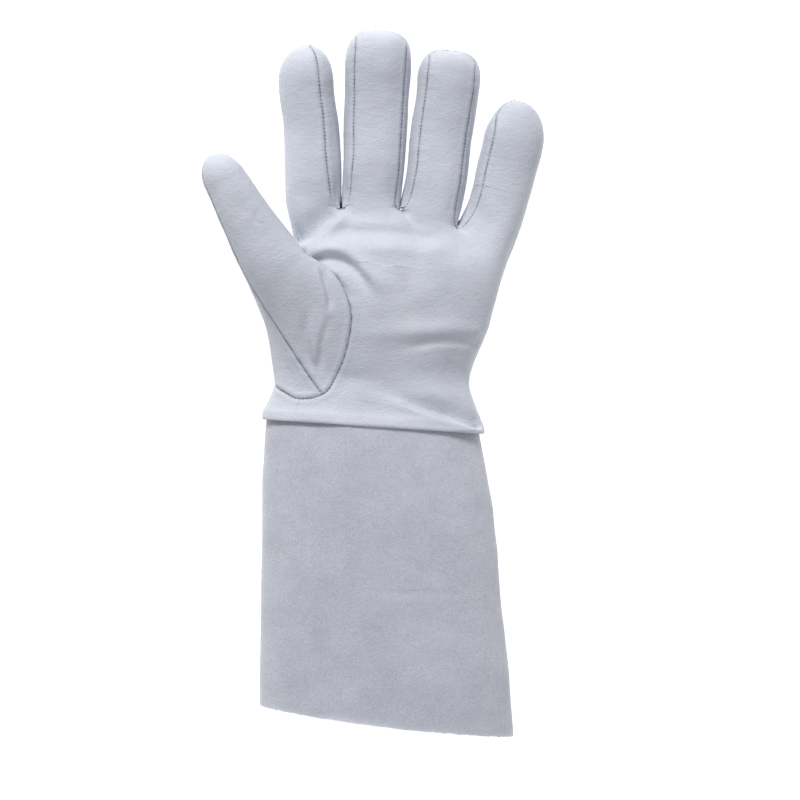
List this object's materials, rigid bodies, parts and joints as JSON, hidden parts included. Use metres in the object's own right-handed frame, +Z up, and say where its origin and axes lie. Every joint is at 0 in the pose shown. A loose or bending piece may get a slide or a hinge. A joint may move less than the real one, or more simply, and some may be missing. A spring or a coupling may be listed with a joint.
{
  "type": "welding glove",
  "caption": "Left-hand welding glove: soft grain-leather hand with sewn fingers and set-in thumb, long split-leather gauntlet cuff, lying on its back.",
  "frame": {"origin": "middle of the glove's footprint, on the surface it lies on", "axes": "+X towards the little finger, +Y along the glove towards the fingertips, +Z up out of the palm"},
  "size_m": [0.17, 0.3517, 0.051],
  "materials": {
    "grain_leather": "soft matt grain leather, dyed pale blue-grey",
    "split_leather": "napped split leather, pale blue-grey",
    "elastic": "woven elastic tape"
  },
  "bodies": {
    "hand": {"back_panel": "grain_leather", "index_middle_fork": "grain_leather", "middle_ring_fork": "grain_leather", "palm_panel": "grain_leather", "ring_little_fork": "grain_leather", "thumb_root_back": "grain_leather", "thumb_root_front": "grain_leather", "wrist_elastic": "elastic"},
    "index_near": {"index_near_back": "grain_leather", "index_near_front": "grain_leather", "index_near_right_fourchette": "grain_leather"},
    "index_tip": {"index_tip_back": "grain_leather", "index_tip_front": "grain_leather", "index_tip_right_fourchette": "grain_leather"},
    "little_near": {"little_near_back": "grain_leather", "little_near_front": "grain_leather", "little_near_left_fourchette": "grain_leather"},
    "little_tip": {"little_tip_back": "grain_leather", "little_tip_front": "grain_leather", "little_tip_left_fourchette": "grain_leather"},
    "middle_near": {"middle_near_back": "grain_leather", "middle_near_front": "grain_leather", "middle_near_left_fourchette": "grain_leather", "middle_near_right_fourchette": "grain_leather"},
    "middle_tip": {"middle_tip_back": "grain_leather", "middle_tip_front": "grain_leather", "middle_tip_left_fourchette": "grain_leather", "middle_tip_right_fourchette": "grain_leather"},
    "ring_near": {"ring_near_back": "grain_leather", "ring_near_front": "grain_leather", "ring_near_left_fourchette": "grain_leather", "ring_near_right_fourchette": "grain_leather"},
    "ring_tip": {"ring_tip_back": "grain_leather", "ring_tip_front": "grain_leather", "ring_tip_left_fourchette": "grain_leather", "ring_tip_right_fourchette": "grain_leather"},
    "thumb_near": {"thumb_near_back": "grain_leather", "thumb_near_front": "grain_leather"},
    "thumb_tip": {"thumb_tip_back": "grain_leather", "thumb_tip_front": "grain_leather"},
    "cuff": {"cuff": "split_leather", "cuff_seam_strip": "split_leather", "wrist_hem_back": "grain_leather", "wrist_hem_front": "grain_leather"}
  },
  "joints": [
    {"name": "index_knuckle", "type": "hinge", "parent": "hand", "child": "index_near", "pos_m": [-0.03037, 0.10115, 0.01903], "axis": [0.9999, 0.0147, 0], "range_deg": [0, 65]},
    {"name": "index_middle_joint", "type": "hinge", "parent": "index_near", "child": "index_tip", "pos_m": [-0.03175, 0.13057, 0.0174], "axis": [0.9987, 0.0514, 0], "range_deg": [0, 70]},
    {"name": "little_knuckle", "type": "hinge", "parent": "hand", "child": "little_near", "pos_m": [0.06055, 0.08418, 0.01789], "axis": [0.9872, -0.1595, 0], "range_deg": [0, 65]},
    {"name": "little_middle_joint", "type": "hinge", "parent": "little_near", "child": "little_tip", "pos_m": [0.06656, 0.10691, 0.01652], "axis": [0.9916, -0.1293, 0], "range_deg": [0, 70]},
    {"name": "middle_knuckle", "type": "hinge", "parent": "hand", "child": "middle_near", "pos_m": [-0.00062, 0.10124, 0.01943], "axis": [0.9989, -0.0461, 0], "range_deg": [0, 65]},
    {"name": "middle_middle_joint", "type": "hinge", "parent": "middle_near", "child": "middle_tip", "pos_m": [0.00087, 0.13275, 0.01773], "axis": [0.9998, -0.0215, 0], "range_deg": [0, 70]},
    {"name": "ring_knuckle", "type": "hinge", "parent": "hand", "child": "ring_near", "pos_m": [0.03002, 0.0955, 0.01917], "axis": [0.9948, -0.1022, 0], "range_deg": [0, 65]},
    {"name": "ring_middle_joint", "type": "hinge", "parent": "ring_near", "child": "ring_tip", "pos_m": [0.03384, 0.12574, 0.01754], "axis": [0.9975, -0.0705, 0], "range_deg": [0, 70]},
    {"name": "thumb_knuckle", "type": "hinge", "parent": "hand", "child": "thumb_near", "pos_m": [-0.05491, 0.0701, 0.03762], "axis": [0.8034, 0.5151, -0.2987], "range_deg": [0, 25]},
    {"name": "thumb_middle_joint", "type": "hinge", "parent": "thumb_near", "child": "thumb_tip", "pos_m": [-0.06674, 0.0901, 0.03829], "axis": [0.8303, 0.4698, -0.2999], "range_deg": [0, 45]},
    {"name": "wrist_bend", "type": "hinge", "parent": "hand", "child": "cuff", "pos_m": [-0.0004, -0.01425, 0.026], "axis": [-0.9982, 0.0605, 0], "range_deg": [-8, 30]}
  ]
}
